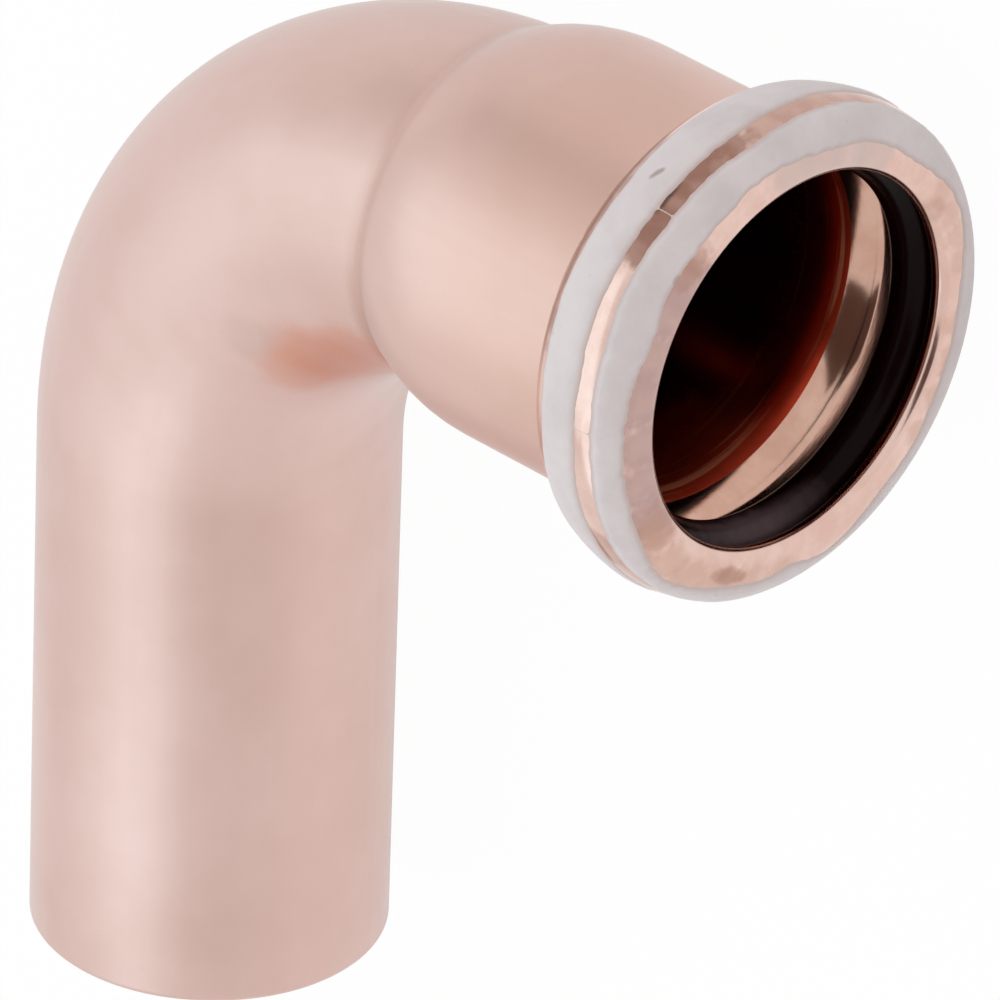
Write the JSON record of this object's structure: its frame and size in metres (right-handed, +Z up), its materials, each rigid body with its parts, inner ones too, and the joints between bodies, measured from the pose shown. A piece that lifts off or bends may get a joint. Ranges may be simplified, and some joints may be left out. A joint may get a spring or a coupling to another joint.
{
  "type": "press fitting elbow",
  "caption": "Copper right-angle press fitting with a plain end, a tight bend and a beaded press socket that holds a black seal ring under a white indicator film.",
  "frame": {"origin": "on the socket's axis, where the round shoulder runs into the straight bore", "axes": "+X along the socket towards its mouth, -Y along the plain end towards its cut, +Z up as the elbow lies on its side"},
  "size_m": [0.0588, 0.0745, 0.0314],
  "materials": {
    "copper": "satin drawn copper outside, brighter on the bead, the lip and inside",
    "seal_rubber": "smooth moulded black rubber with a soft sheen",
    "indicator_film": "thin matte white shrunk film with slightly ragged edges"
  },
  "bodies": {
    "root": {"elbow_body": "copper", "seal_ring": "seal_rubber", "press_indicator": "indicator_film"}
  },
  "joints": []
}
